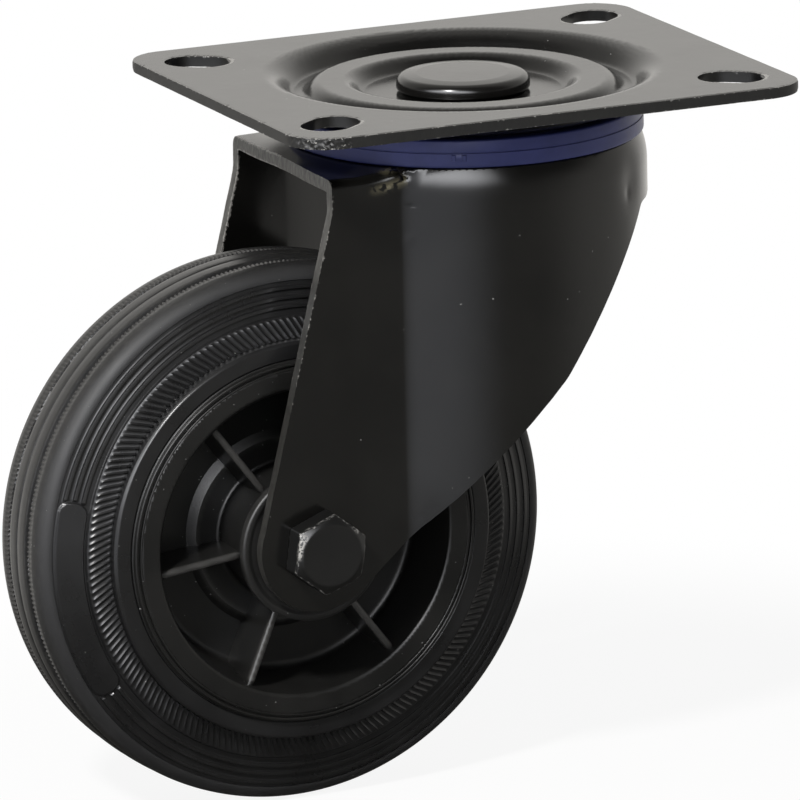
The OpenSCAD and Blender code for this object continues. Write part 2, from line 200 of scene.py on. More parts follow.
# pulls the points beside an edge onto it, so that the edge runs clean
def settleRidges(points, low, step, ridges, target):
    marked = np.zeros(len(points), bool)
    sides = np.zeros((2, len(points), 3))
    for k in range(len(ridges(*points[:1].T))):
        a, b = ridges(*points.T)[k]
        near = np.flatnonzero((np.abs(a) < step) & (np.abs(b) < step))
        moved = points[near]
        for turn in range(4):
            a, slopeA = fieldSlope(lambda x, y, z: ridges(x, y, z)[k][0], moved)
            b, slopeB = fieldSlope(lambda x, y, z: ridges(x, y, z)[k][1], moved)
            aa, ab, bb = (slopeA * slopeA).sum(1), (slopeA * slopeB).sum(1), (slopeB * slopeB).sum(1)
            room = np.maximum(aa * bb - ab * ab, 0.05)
            u = (bb * (target - a) - ab * (target - b)) / room
            v = (aa * (target - b) - ab * (target - a)) / room
            moved = moved + np.clip(u[:, None] * slopeA + v[:, None] * slopeB, -step / 2, step / 2)
        home = np.all((moved > low[near] - 0.3 * step) & (moved < low[near] + 1.3 * step), axis=1)
        points[near[home]] = moved[home]
        marked[near[home]] = True
        for side, slope in enumerate((slopeA, slopeB)):
            sides[side][near[home]] = slope[home] / np.linalg.norm(slope[home], axis=1)[:, None]
    return marked, sides


def fieldSlope(field, points, reach=0.02):
    x, y, z = points.T
    value = field(x, y, z)
    slope = np.stack([field(x + reach, y, z) - field(x - reach, y, z),
                      field(x, y + reach, z) - field(x, y - reach, z),
                      field(x, y, z + reach) - field(x, y, z - reach)], 1) / (2 * reach)
    return value, slope


# rings of points joined into a closed skin; rows may have different counts
def joinRings(rows, closed=True):
    points, faces, starts = [], [], []
    for angles, ring in rows:
        starts.append(sum(len(p) for p in points))
        points.append(ring)
    last = len(rows) - 1
    for i, j in [(i, i + 1) for i in range(last)] + ([(last, 0)] if closed else []):
        a, b, n, m = starts[i], starts[j], len(rows[i][1]), len(rows[j][1])
        if n == m and n > 1:
            k = np.arange(n)
            faces += np.stack([a + k, b + k, b + (k + 1) % n, a + (k + 1) % n], 1).tolist()
        elif n == 1 or m == 1:
            for k in range(max(n, m)):
                step = (k + 1) % max(n, m)
                faces.append([a, b + k, b + step] if n == 1 else [a + k, b, a + step])
        else:
            faces += zipRings(a, rows[i][0], b, rows[j][0])
    return np.concatenate(points), faces


def zipRings(a, aAngles, b, bAngles):
    ia, ib = np.argsort(np.mod(aAngles, tau)), np.argsort(np.mod(bAngles, tau))
    p = np.append(np.mod(aAngles, tau)[ia], np.mod(aAngles, tau).min() + tau)
    q = np.append(np.mod(bAngles, tau)[ib], np.mod(bAngles, tau).min() + tau)
    n, m, i, j, faces = len(ia), len(ib), 0, 0, []
    while i < n or j < m:
        if j >= m or (i < n and p[i + 1] <= q[j + 1]):
            faces.append([a + ia[i % n], b + ib[j % m], a + ia[(i + 1) % n]])
            i += 1
        else:
            faces.append([a + ia[i % n], b + ib[j % m], b + ib[(j + 1) % m]])
            j += 1
    return faces


def swivelRing(r, z, angles):
    return np.stack([r * np.cos(angles), r * np.sin(angles), z + 0 * angles], 1)


def wheelRing(r, y, angles):
    return np.stack([axleX + r * np.cos(angles), y + 0 * angles, axleZ + r * np.sin(angles)], 1)


def turned(profile, ring, count):
    angles = np.linspace(0, tau, count, endpoint=False)
    rows = []
    for r, h in profile:
        rows.append((angles[:1], ring(0, h, angles[:1])) if r < 1e-6 else (angles, ring(r, h, angles)))
    return joinRings(rows, closed=profile[0][0] > 1e-6)


def addPiece(name, points, faces, body, nodes, finish, sharp=38, normals=None, masks=None):
    faces = [[int(v) for v in f] for f in faces]
    groups = [np.array([f for f in faces if len(f) == n]) for n in (3, 4)]
    if sum(enclosed(points, group) for group in groups if len(group)) < 0:
        faces = [f[::-1] for f in faces]
    mesh = bpy.data.meshes.new(name)
    mesh.from_pydata((points * mm).tolist(), [], faces)
    mesh.update()
    mesh.shade_smooth()
    for key, values in (masks or {}).items():
        domain = "FACE" if len(values) == len(faces) else "POINT"
        mesh.attributes.new(key, "FLOAT", domain).data.foreach_set("value", np.asarray(values, np.float32))
    if normals is not None and len(normals) == len(points):
        mesh.normals_split_custom_set_from_vertices(normals.tolist())
    elif normals is not None:
        mesh.normals_split_custom_set(normals.tolist())
    else:
        mesh.set_sharp_from_angle(angle=math.radians(sharp))
    piece = bpy.data.objects.new(name, mesh)
    bpy.context.scene.collection.objects.link(piece)
    mesh.materials.append(finish)
    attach(piece, body)
    if nodes:
        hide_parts(*nodes)
    print("  ", name, len(points), "points,", sum(len(f) - 2 for f in faces), "triangles")


def faceCentres(points, faces):
    return np.array([points[face].sum(0) / len(face) for face in faces]).T


# a socket that takes sums, so a shader reads like arithmetic
class Wire:
    def __init__(self, tree, socket=None):
        self.tree, self.socket = tree, socket

    def node(self, kind, settings, links, out=0):
        made = self.tree.nodes.new(kind)
        for key, value in settings.items():
            setattr(made, key, value)
        for key, value in links.items():
            if isinstance(value, Wire):
                self.tree.links.new(value.socket, made.inputs[key])
            else:
                made.inputs[key].default_value = value
        return Wire(self.tree, made.outputs[out]) if len(made.outputs) else None

    def maths(self, operation, *values):
        return self.node("ShaderNodeMath", {"operation": operation}, dict(enumerate(values)))

    def __add__(self, other):
        return self.maths("ADD", self, other)

    def __radd__(self, other):
        return self.maths("ADD", other, self)

    def __sub__(self, other):
        return self.maths("SUBTRACT", self, other)

    def __rsub__(self, other):
        return self.maths("SUBTRACT", other, self)

    def __mul__(self, other):
        return self.maths("MULTIPLY", self, other)

    def __rmul__(self, other):
        return self.maths("MULTIPLY", other, self)

    def ease(self, low, high):
        return self.node("ShaderNodeMapRange", {"interpolation_type": "SMOOTHSTEP"},
                         {"Value": self, "From Min": low, "From Max": high})

    def tint(self, first, second):  # this mask mixes two colours
        return self.node("ShaderNodeMix", {"data_type": "RGBA"}, {0: self, 6: first, 7: second}, 2)

    def noise(self, scale, detail=2.0, rough=0.5):
        links = {"Vector": self, "Scale": scale, "Detail": detail, "Roughness": rough}
        return self.node("ShaderNodeTexNoise", {}, links)

    def stretch(self, x, y, z):
        return self.node("ShaderNodeVectorMath", {"operation": "MULTIPLY"}, {0: self, 1: (x, y, z)})

    def towards(self, direction):
        return self.node("ShaderNodeVectorMath", {"operation": "DOT_PRODUCT"}, {0: self, 1: direction}, "Value")

    def mask(self, name):
        return self.node("ShaderNodeAttribute", {"attribute_name": name}, {}, "Fac")

    def ray(self, kind):
        return self.node("ShaderNodeLightPath", {}, {}, kind)

    def blend(self, first, second):  # this mask mixes two shaders
        return self.node("ShaderNodeMixShader", {}, {0: self, 1: first, 2: second})


def startFinish(name):
    material = bpy.data.materials.new(name)
    material.use_nodes = True
    material.node_tree.nodes.clear()
    start = Wire(material.node_tree)
    place = start.node("ShaderNodeTexCoord", {}, {}, "Object")
    return material, start.node("ShaderNodeVectorMath", {"operation": "SCALE"}, {0: place, "Scale": 1000.0})


def closeFinish(wire, colour, rough, height, depth, metal=0.0, **fixed):
    normal = wire.node("ShaderNodeBump", {}, {"Height": height, "Distance": depth * mm, "Strength": 1.0})
    links = {"Base Color": colour, "Roughness": rough, "Normal": normal, "Metallic": metal}
    links.update({key.replace("_", " "): value for key, value in fixed.items()})
    shader = wire.node("ShaderNodeBsdfPrincipled", {}, links)
    wire.node("ShaderNodeOutputMaterial", {}, {"Surface": shader})


def shade(*rgb):
    return tuple(rgb) + (1.0,)


# black stove paint over pressed steel: orange peel, thin on sheared edges, chipped corners
def blackPaint(name, look):
    material, place = startFinish(name)
    blotch = place.noise(look["blotchScale"], 3.0, 0.6)
    peel = place.noise(look["peelScale"], 1.0)
    grit = place.noise(5.0, 2.0)
    speck = place.noise(1.9, 0.0).ease(0.888, 0.905)
    edge, cut = place.mask("edge"), place.mask("cut")
    broken = place.noise(1.3, 3.0, 0.7)
    chip = (edge * 0.75 + broken * 0.8).ease(1.02 - look["chip"], 1.14 - look["chip"])
    drag = place.stretch(1.6, 1.6, 0.25).noise(2.2, 3.0, 0.65)
    bareAndGlintSpots = place.noise(look["bareAndGlintScale"], 1.0).ease(look["bareAndGlintFrom"], look["bareAndGlintFrom"] + 0.12)
    # this mask and tone paint bare metal and primer where the paint is off, and also painted highlights on the bolt
    # head's chamfer
    bareAndGlint = place.mask("bareAndGlint") * bareAndGlintSpots
    colour = blotch.ease(0.3, 0.7).tint(shade(*look["low"]), shade(*look["high"]))
    shear = drag.ease(0.3, 0.75).tint(shade(*look["cutLow"]), shade(*look["cutHigh"]))
    colour = (cut * look["cutAmount"]).tint(colour, shear)
    colour = (chip * 0.85).tint(colour, shade(*look["steel"]))
    colour = (bareAndGlint * 0.8).tint(colour, shade(*look["bareAndGlintTone"]))
    colour = (speck * look["dust"]).tint(colour, shade(*look["speck"]))
    rough = look["rough"] + (blotch - 0.5) * 0.1 + cut * 0.35 + chip * 0.15 + speck * 0.2 + bareAndGlint * 0.3
    height = peel * look["peel"] + grit * 0.06 + drag * cut * 0.6 - chip * 0.35 - bareAndGlint * 0.5 + speck * 0.3
    closeFinish(place, colour, rough, height, look["depth"], chip * 0.6, Specular_IOR_Level=look["gloss"])
    return material


plateLook = {"low": (0.003, 0.003, 0.0028), "high": (0.0048, 0.0047, 0.0043), "rough": 0.18, "gloss": 0.5,
             "blotchScale": 0.07, "peelScale": 0.4, "peel": 0.5, "depth": 0.018, "dust": 0.5,
             "speck": (0.45, 0.45, 0.44), "cutLow": (0.0035, 0.0035, 0.0032), "cutHigh": (0.016, 0.0155, 0.014),
             "cutAmount": 0.4, "chip": 0.03, "steel": (0.35, 0.345, 0.33), "bareAndGlintTone": (0.5, 0.49, 0.46),
             "bareAndGlintScale": 1.7, "bareAndGlintFrom": 0.62}
forkLook = dict(plateLook, low=(0.003, 0.0029, 0.0026), high=(0.005, 0.0048, 0.0042), rough=0.19,
                cutLow=(0.05, 0.05, 0.048), cutHigh=(0.2, 0.195, 0.18), cutAmount=0.9, chip=0.14,
                steel=(0.4, 0.39, 0.37), bareAndGlintTone=(0.4, 0.36, 0.23), bareAndGlintScale=0.85, bareAndGlintFrom=0.38)
pinLook = dict(plateLook, rough=0.2, low=(0.004, 0.0038, 0.0035), high=(0.0065, 0.0062, 0.0057))
boltLook = dict(plateLook, low=(0.006, 0.006, 0.006), high=(0.0095, 0.0095, 0.0092), rough=0.3,
                chip=0.08, peelScale=1.6, peel=0.6, bareAndGlintTone=(0.45, 0.44, 0.42), bareAndGlintScale=2.6, bareAndGlintFrom=0.4)


# moulded rubber: dull, a grey bloom, dust specks
def rubber(name, look):
    material, place = startFinish(name)
    bloom = place.noise(0.09, 4.0, 0.6)
    grain = place.noise(3.4, 3.0, 0.6)
    scuff = place.stretch(1.0, 3.0, 1.0).noise(0.7, 3.0, 0.7)
    speck = place.noise(2.2, 0.0).ease(0.865, 0.89)
    tread = place.mask("tread")
    colour = bloom.ease(0.32, 0.72).tint(shade(*look["low"]), shade(*look["high"]))
    colour = (tread * scuff.ease(0.35, 0.75) * 0.6).tint(colour, shade(*look["scuff"]))
    colour = (speck * look["dust"]).tint(colour, shade(*look["speck"]))
    rough = look["rough"] + (bloom - 0.5) * 0.16 + tread * 0.06 + speck * 0.2
    rough = rough + place.mask("dull") * look["dull"]
    height = grain * 0.5 + scuff * tread * 0.5 + speck * 0.6
    closeFinish(place, colour, rough, height, look["depth"], Specular_IOR_Level=look["gloss"],
                Coat_Weight=place.mask("crest").ease(0.1, 0.6) * look["shine"], Coat_Roughness=0.12)
    return material


tyreLook = {"low": (0.0085, 0.0085, 0.0088), "high": (0.013, 0.013, 0.0135), "scuff": (0.034, 0.033, 0.031),
            "rough": 0.29, "gloss": 0.5, "shine": 0.6, "dull": 0.3, "depth": 0.016, "dust": 0.55,
            "speck": (0.4, 0.4, 0.39)}


# moulded plastic: fine spark grain, soft flow marks
def moulded(name, look):
    material, place = startFinish(name)
    flow = place.noise(look["flowScale"], 3.0, 0.6)
    grain = place.noise(look["grainScale"], 2.0, 0.6)
    speck = place.noise(1.9, 0.0).ease(0.87, 0.89)
    colour = flow.ease(0.3, 0.72).tint(shade(*look["low"]), shade(*look["high"]))
    # painted highlight: the masked edges are painted a lighter grey (wheel rib tops, the wheel's step edge, cap
    # rims)
    paintedGlint = place.mask("edge") * flow.ease(0.1, 0.6) * look["paintedGlintShare"]
    colour = paintedGlint.tint(colour, shade(*look["paintedGlint"]))
    colour = (speck * look["dust"]).tint(colour, shade(*look["speck"]))
    rough = look["rough"] + (flow - 0.5) * 0.16 + speck * 0.2
    closeFinish(place, colour, rough, grain + flow * 0.8, look["depth"], Specular_IOR_Level=look["gloss"])
    return material


wheelLook = {"low": (0.007, 0.007, 0.0067), "high": (0.0105, 0.0103, 0.0097), "rough": 0.35, "gloss": 0.42,
             "flowScale": 0.1, "grainScale": 3.0, "depth": 0.02, "dust": 0.5, "speck": (0.4, 0.4, 0.4),
             "paintedGlintShare": 0.85, "paintedGlint": (0.055, 0.054, 0.052)}
capLook = dict(wheelLook, paintedGlintShare=0.3, low=(0.0095, 0.0095, 0.0092), high=(0.0135, 0.0132, 0.0126), rough=0.42)
sealLook = dict(wheelLook, low=(0.027, 0.035, 0.135), high=(0.038, 0.047, 0.175), rough=0.4, gloss=0.4,
                flowScale=0.16, grainScale=2.4, dust=0.1, paintedGlintShare=0.0)
insertLook = dict(sealLook, low=(0.06, 0.13, 0.36), high=(0.09, 0.19, 0.48))
cageLook = dict(wheelLook, low=(0.5, 0.46, 0.34), high=(0.64, 0.6, 0.47), rough=0.45)


# plated or polished steel for the inner pieces
def plainSteel(name, look):
    material, place = startFinish(name)
    cloud = place.noise(0.25, 3.0, 0.6)
    brush = place.stretch(4.0, 4.0, 0.4).noise(1.6, 3.0, 0.6)
    colour = cloud.ease(0.3, 0.7).tint(shade(*look["low"]), shade(*look["high"]))
    rough = look["rough"] + (brush - 0.5) * look["spread"]
    closeFinish(place, colour, rough, brush, look["depth"], 1.0)
    return material


zincLook = {"low": (0.5, 0.5, 0.49), "high": (0.66, 0.66, 0.63), "rough": 0.36, "spread": 0.3,
            "depth": 0.012}
ballLook = {"low": (0.62, 0.62, 0.63), "high": (0.72, 0.72, 0.73), "rough": 0.1, "spread": 0.06,
            "depth": 0.002}

platePaint = blackPaint("platePaint", plateLook)
forkPaint = blackPaint("forkPaint", forkLook)
pinPaint = blackPaint("pinPaint", pinLook)
boltBlack = blackPaint("boltBlack", boltLook)
tyreRubber = rubber("tyreRubber", tyreLook)
wheelPlastic = moulded("wheelPlastic", wheelLook)
capPlastic = moulded("capPlastic", capLook)
sealPlastic = moulded("sealPlastic", sealLook)
insertPlastic = moulded("insertPlastic", insertLook)
cagePlastic = moulded("cagePlastic", cageLook)
zincSteel = plainSteel("zincSteel", zincLook)
ballSteel = plainSteel("ballSteel", ballLook)
print("finishes made")

# nodes that stay as the frame has them
keptFinishes = {"lower_cup": zincSteel, "upper_balls": ballSteel, "lower_balls": ballSteel,
                "axle_sleeve": zincSteel, "roller_cage": cagePlastic, "rollers": ballSteel,
                "nut_insert": insertPlastic}
for nodeName, finish in keptFinishes.items():
    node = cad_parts[nodeName]
    node.data.materials.clear()
    node.data.materials.append(finish)

# mounting plate: drawn sheet with rolled dish, slots and rough sheared corners
plate = {"halfX": 50.0, "halfY": 42.5, "corner": 8.0, "sheet": 2.2, "slotX": 39.5, "slotY": 30.25,
         "slotRun": 1.5, "slotR": 4.5, "edge": 0.45, "hole": 6.0, "step": 0.5,
         "tornX": (38, 46), "tornY": (34, 41)}
dishPath = rounded([(0, -3.8, 0), (18.6, -3.8, 2.0), (20.8, -1.5, 2.6), (27.2, -1.5, 2.6), (28.9, -3.6, 1.2),
                    (31.4, -3.6, 1.4), (34.2, 0, 5.0), (90, 0, 0)], count=9)
slotTurn = math.atan2(plate["slotY"], plate["slotX"])


def plateOutline(x, y):
    u = np.abs(x) - plate["halfX"] + plate["corner"]
    v = np.abs(y) - plate["halfY"] + plate["corner"]
    return (np.sqrt(np.square(np.maximum(u, 0)) + np.square(np.maximum(v, 0)))
            + np.minimum(np.maximum(u, v), 0) - plate["corner"])


def slotDistance(x, y):
    u, v = np.abs(x) - plate["slotX"], np.abs(y) - plate["slotY"]
    along = u * math.cos(slotTurn) + v * math.sin(slotTurn)
    across = v * math.cos(slotTurn) - u * math.sin(slotTurn)
    past = np.maximum(np.abs(along) - plate["slotRun"], 0)
    return np.sqrt(past * past + across * across) - plate["slotR"]


def plateParts(x, y, z):
    r = np.sqrt(x * x + y * y)
    top = np.where(z > np.interp(r, *zip(*dishPath)), 1.0, -1.0) * lineDistance(r, z, dishPath)
    sheet = np.abs(top + plate["sheet"] / 2) - plate["sheet"] / 2
    near = ease(-x, *plate["tornX"]) * ease(-y, *plate["tornY"])  # the sheared near corner is torn
    rim = plateOutline(x, y) + 0.03 + 0.03 * wave(x, y, 3 * z, 2.1, 3)
    rim = rim + near * (0.16 + 0.22 * wave(x, y, 2 * z, 0.55, 5) + 0.12 * wave(x, y, z, 0.3, 8))
    slot = -slotDistance(x, y)
    return sheet, rim, slot, plate["hole"] - r


def plateField(x, y, z):
    sheet, rim, slot, hole = plateParts(x, y, z)
    return np.maximum(both(both(sheet, rim, plate["edge"]), slot, plate["edge"]), hole)


def plateRidges(x, y, z):
    sheet, rim, slot, hole = plateParts(x, y, z)
    return [(sheet, rim), (sheet, slot)]


print("top plate")
points, faces, normals = skinField(plateField, (-50.2, -42.7, -6.3), (50.2, 42.7, 0.3), plate["step"],
                                   plateRidges, plate["edge"])
px, py, pz = points.T
sheet, rim, slot = plateParts(px, py, pz)[:3]
faceSheet, faceRim, faceSlot = plateParts(*faceCentres(points, faces))[:3]
cut = np.maximum(faceRim > faceSheet, 0.4 * (faceSlot > faceSheet))
torn = np.abs((px + 45.2) * 0.915 - (py + 41.8) * 0.403)  # distance from the line across the torn corner
bareAndGlint = (1 - ease(torn, 4.4, 5.0)) * ease(-py, 35, 37) * ease(-px, 35, 37) * ease(rim, -0.4, 0)
outward = np.sign(py) * (np.abs(py) - plate["slotY"])
lip = 1 + 0.5 * ease(slot, -1.6, -1.0) * (1 - ease(outward, -1.5, 0.5)) * ease(pz, -1, -0.6)  # painted highlight: extra bright edge wear painted on the front lip of each slot
corner = np.clip(1 + (sheet + np.maximum(rim, slot)) / (1.2 * lip), 0, 1) * lip
addPiece("topPlate", points, faces, "plate", ["top_plate"], platePaint, normals=normals,
         masks={"cut": cut, "edge": corner, "bareAndGlint": bareAndGlint})

# kingpin: spun rivet head in the dish, forged head under the cup
pin = {"path": [(0, -20.64, 0), (11, -20.64, 1.2), (11, -17.64, 0.3), (8.5, -17.64, 0), (8.5, -6.0, 0),
                (6, -6.0, 0), (6, -3.79, 0), (11.5, -3.79, 0), (12.2, -3.1, 0.35), (12.1, -0.8, 1.5),
                (8.5, -0.52, 4), (0, -0.5, 0)], "sides": 192, "rimR": (11.9, 12.2), "rimZ": (-3.4, -2.6)}
print("kingpin")
points, faces = turned(rounded(pin["path"], count=8), swivelRing, pin["sides"])
pinEdge = ease(np.hypot(points[:, 0], points[:, 1]), *pin["rimR"]) * ease(points[:, 2], *pin["rimZ"])
addPiece("pinForging", points, faces, "plate", ["kingpin"], pinPaint, masks={"edge": 0.5 * pinEdge})

# seal ring: blue skirt in two steps, with a plain moulded gate pad
seal = {"outer": 32.7, "groove": 32.52, "top": -6.15, "low": -11.19, "inner": 29.0, "seat": 30.0, "ledge": -7.75,
        "padAngle": math.radians(244.1), "padHalf": 1.4, "padRise": 0.14, "padLow": -9.8, "padTop": -8.85}
sealSkirt = [(seal["outer"], z, 0) for z in (-9.92, seal["padLow"], seal["padTop"], -8.75)]
sealProfile = rounded([(seal["seat"], seal["low"], 0), (seal["outer"], seal["low"], 0.35)] + sealSkirt
                      + [(seal["outer"], -8.6, 0.05), (seal["groove"], -8.52, 0), (seal["groove"], -8.4, 0),
                         (32.6, -8.32, 0.05), (32.45, seal["top"], 0.4), (seal["inner"], seal["top"], 0.2),
                         (seal["inner"], seal["ledge"], 0.1), (seal["seat"], seal["ledge"], 0)],
                      closed=True, count=5)
sealAngles = np.sort(np.concatenate([np.linspace(0, tau, 240, endpoint=False) + 0.0007,
                                     seal["padAngle"] + np.radians(np.linspace(-3.2, 3.2, 65))]))
print("seal ring")
sealRows = []
for r, z in sealProfile:
    arc = np.abs(sealAngles - seal["padAngle"]) * seal["outer"]
    pad = (1 - ease(arc, seal["padHalf"] - 0.12, seal["padHalf"])) * (0.3 + 0.7 * ease(arc, 0.5, 0.65))
    rise = seal["padRise"] * pad if seal["padLow"] - 0.01 < z < seal["padTop"] + 0.01 else 0 * pad
    sealRows.append((sealAngles, swivelRing(r + rise, z, sealAngles)))
points, faces = joinRings(sealRows)
addPiece("sealRing", points, faces, "fork", ["seal_ring"], sealPlastic, sharp=30)

# fork: one pressed sheet, drawn head, creased legs, folded web
fork = {"sheet": 2.5, "headR": 33.2, "shoulder": -11.2, "crown": -8.82, "web": -12.5, "roll": 0.3, "fold": 1.9,
        "barrelFrom": -17.0, "barrel": 14.0, "crease": 0.9, "legOut": 22.5, "flare": 0.18, "flareFrom": -34.0,
        "stepR": 27.0, "crownRoll": 2.6, "hole": 10.5, "rear": -36.3, "boss": 11.6, "boltR": 4.05,
        "races": ((24, -6.26, 3.06), (15, -13.38, 2.56)), "edge": 0.32, "step": 0.56}
knee = (5.0, -51.4)
backCorner = (fork["rear"], -18.5)
heel = tangent(knee, (axleX, axleZ), 0.995 * fork["boss"], -1)
hock = tangent(backCorner, (axleX, axleZ), 0.995 * fork["boss"], 1)
legOutline = (rounded([(60, -23.5, 0), (25.6, -23.5, 1.5), knee + (20,), heel + (0,)])
              + rounded([hock + (0,), backCorner + (8,), (fork["rear"], 15, 0)]) + [(60, 15)])

# dents and pinches of the pressing: place, spread along x y z, depth
forkDents = [((21.4, -25.4, -18.6), (2.2, 2.8, 3.2), 0.32), ((20.8, -26.0, -20.4), (0.6, 1.0, 0.9), 0.16),
             ((-20.5, -25.8, -70.0), (3.0, 3.0, 4.0), -0.12), ((-22.7, -23.6, -12.5), (0.75, 0.75, 0.6), 0.9),
             ((-25.6, -22.8, -14.4), (1.9, 0.8, 0.45), 0.35), ((-24.4, -22.6, -12.6), (1.6, 1.0, 0.5), -0.3),
             ((-21.6, -25.2, -17.9), (0.6, 0.6, 0.3), 0.17),
             ((-22.0, -24.9, -24.1), (0.6, 0.6, 0.6), -0.14), ((-13.2, -30.5, -19.5), (3.5, 2.5, 2.2), -0.1)]


def forkParts(x, y, z):
    r = np.sqrt(x * x + y * y)
    past = x - fork["flareFrom"]
    flare = fork["flare"] * (np.sqrt(past * past + 4) + past) / 2  # the leg leans out to meet the head
    side = np.maximum(np.abs(y) - fork["legOut"] - flare, x + 8)
    barrel = np.square(np.maximum(z - fork["barrelFrom"], 0)) / (2 * fork["barrel"])  # drawn in under the seal
    plan = either(r - fork["headR"] + barrel, side, fork["crease"])
    level = fork["shoulder"] + (fork["web"] - fork["shoulder"]) * ease(r, 31.0, 38.4)
    cap = both(z - fork["crown"], (r - fork["stepR"] + z - fork["crown"]) * math.sqrt(0.5), fork["crownRoll"])
    top = either(z - level, cap, 0.8)
    roll = fork["roll"] + (fork["fold"] - fork["roll"]) * ease(-x, 20, 27)
    outer = both(plan, top, roll)
    outer = outer + 0.035 * wave(x, y, z, 9.0, 2) + 0.012 * wave(x, y, z, 3.2, 4)
    for (cx, cy, cz), (sx, sy, sz), depth in forkDents:
        near = np.square((x - cx) / sx) + np.square((y - cy) / sy) + np.square((z - cz) / sz)
        outer = outer + depth * np.exp(-0.5 * near)
    shell = np.abs(outer + fork["sheet"] / 2) - fork["sheet"] / 2
    boss = np.sqrt(np.square(x - axleX) + np.square(z - axleZ))
    trim = np.minimum(outlineDistance(x, z, legOutline), boss - fork["boss"])
    trim = trim + 0.03 * wave(x, 3 * y, z, 1.7, 6)
    bores = np.maximum(fork["hole"] - r, fork["boltR"] - boss)
    upper, lower = (np.sqrt(np.square(r - ringR) + np.square(z - ringZ)) - ballR
                    for ringR, ringZ, ballR in fork["races"])
    return shell, trim, bores, -np.minimum(upper, lower)


def forkField(x, y, z):
    shell, trim, bores, races = forkParts(x, y, z)
    return np.maximum(np.maximum(both(shell, trim, fork["edge"]), bores), races)


def forkRidges(x, y, z):
    shell, trim, bores, races = forkParts(x, y, z)
    return [(shell, trim)]


print("fork")
points, faces, normals = skinField(forkField, (-52, -33.4, -92), (33.4, 33.4, -8.7), fork["step"],
                                   forkRidges, fork["edge"])
px, py, pz = points.T
shell, trim = forkParts(px, py, pz)[:2]
centres = faceCentres(points, faces)
faceShell, faceTrim = forkParts(*centres)[:2]
# painted highlight: the sheared faces are painted lighter towards the top, on the web's edge, and darker down the
# legs
cut = (faceTrim > faceShell) * (0.3 + 0.7 * ease(centres[2], -20, -15))
patch = np.square((px + 23.9) / 1.6) + np.square((py + 22.2) / 0.9) + np.square((pz + 12.1) / 0.6)
reach = np.clip((px + 28.2) / 5.3, 0, 1)  # bare streak below the pinched fold
streak = (np.square(px + 28.2 - 5.3 * reach) + np.square(py + 22.5 + 1.4 * reach)
          + np.square(pz + 15 - 1.5 * reach))
bareAndGlint = np.maximum(np.exp(-patch), np.exp(-streak / 0.5))
worn = np.where(py > 0, 1.0, 0.8) * (1 - 0.75 * ease(-pz, 45, 78)) * (1 - 0.9 * ease(px, -33, -26))
addPiece("forkShell", points, faces, "fork", ["fork"], forkPaint, normals=normals,
         masks={"cut": cut, "edge": np.clip(1 + (shell + trim) / 1.2, 0, 1) * worn, "bareAndGlint": bareAndGlint})

# axle bolt: chamfered hexagon head on the near leg, rolled thread at the nut end
bolt = {"across": 13.0, "turn": math.radians(22), "face": -22.5, "height": 5.4, "shank": 4.0, "end": 32.4,
        "pitch": 1.25, "thread": 0.36, "threadFrom": 18.0, "edge": 0.18, "flat": 5.75, "step": 0.32}
hexTurn = bolt["turn"] + math.pi / 6


def hexDistance(x, z, across, turn, edge):
    dist = None
    for k in range(3):
        q = turn + k * math.pi / 3
        side = np.abs((x - axleX) * math.cos(q) + (z - axleZ) * math.sin(q)) - across / 2
        dist = side if dist is None else both(dist, side, edge)
    return dist


def hexHead(x, y, z, base, height, turn):  # grows from base, towards -y for a negative height
    out = (y - base) * np.sign(height)
    r = np.sqrt(np.square(x - axleX) + np.square(z - axleZ))
    cone = (r - bolt["flat"]) * 0.5 + (out - abs(height)) * 0.866
    flats = hexDistance(x, z, bolt["across"], turn, 0.15)
    return np.maximum(both(flats, both(out - abs(height), cone, 0.12), bolt["edge"]), -out)


def threadRadius(x, y, z):
    q = np.arctan2(z - axleZ, x - axleX) / tau
    tooth = np.abs(np.mod(y / bolt["pitch"] + q, 1.0) - 0.5) * 2
    grown = ease(y, bolt["threadFrom"], bolt["threadFrom"] + 2)
    return bolt["shank"] - bolt["thread"] * ease(tooth, 0.15, 0.85) * grown


def boltField(x, y, z):
    head = hexHead(x, y, z, bolt["face"], -bolt["height"], hexTurn)
    r = np.sqrt(np.square(x - axleX) + np.square(z - axleZ))
    tip = (r - 3.3) * 0.7071 + (y - bolt["end"]) * 0.7071
    ends = np.maximum(y - bolt["end"], bolt["face"] - 0.5 - y)
    return np.minimum(head, np.maximum(np.maximum(r - threadRadius(x, y, z), tip), ends))


print("axle bolt and nut")
points, faces, normals = skinField(boltField, (-48, -28, -88), (-32, 32.5, -72), bolt["step"])
px, py, pz = points.T
out = -(py - bolt["face"])
worn = ease(out, 3.2, 4.2) * ease(hexDistance(px, pz, bolt["across"], hexTurn, 0.15), -0.55, -0.2)
around = np.degrees(np.arctan2(pz - axleZ, px - axleX)) % 360
cone = ease(np.hypot(px - axleX, pz - axleZ), 5.9, 6.2) * ease(out, 4.4, 4.7)
# painted highlights: bright patches painted on the chamfer at about 160 and 42 degrees
paintedChamferGlint = cone * (1 - ease(np.abs(around - 160), 14, 24)) + 0.6 * cone * (1 - ease(np.abs(around - 42), 5, 9))
addPiece("axleBolt", points, faces, "fork", ["axle_bolt"], boltBlack, normals=normals,
         masks={"edge": 0.75 * worn, "bareAndGlint": paintedChamferGlint})

# locking nut on the far leg, with a groove for its insert
nut = {"base": 22.5, "height": 6.4, "total": 8.0, "collar": 6.0, "bore": 4.04, "ring": 5.0, "lip": 4.5,
       "step": 0.26}


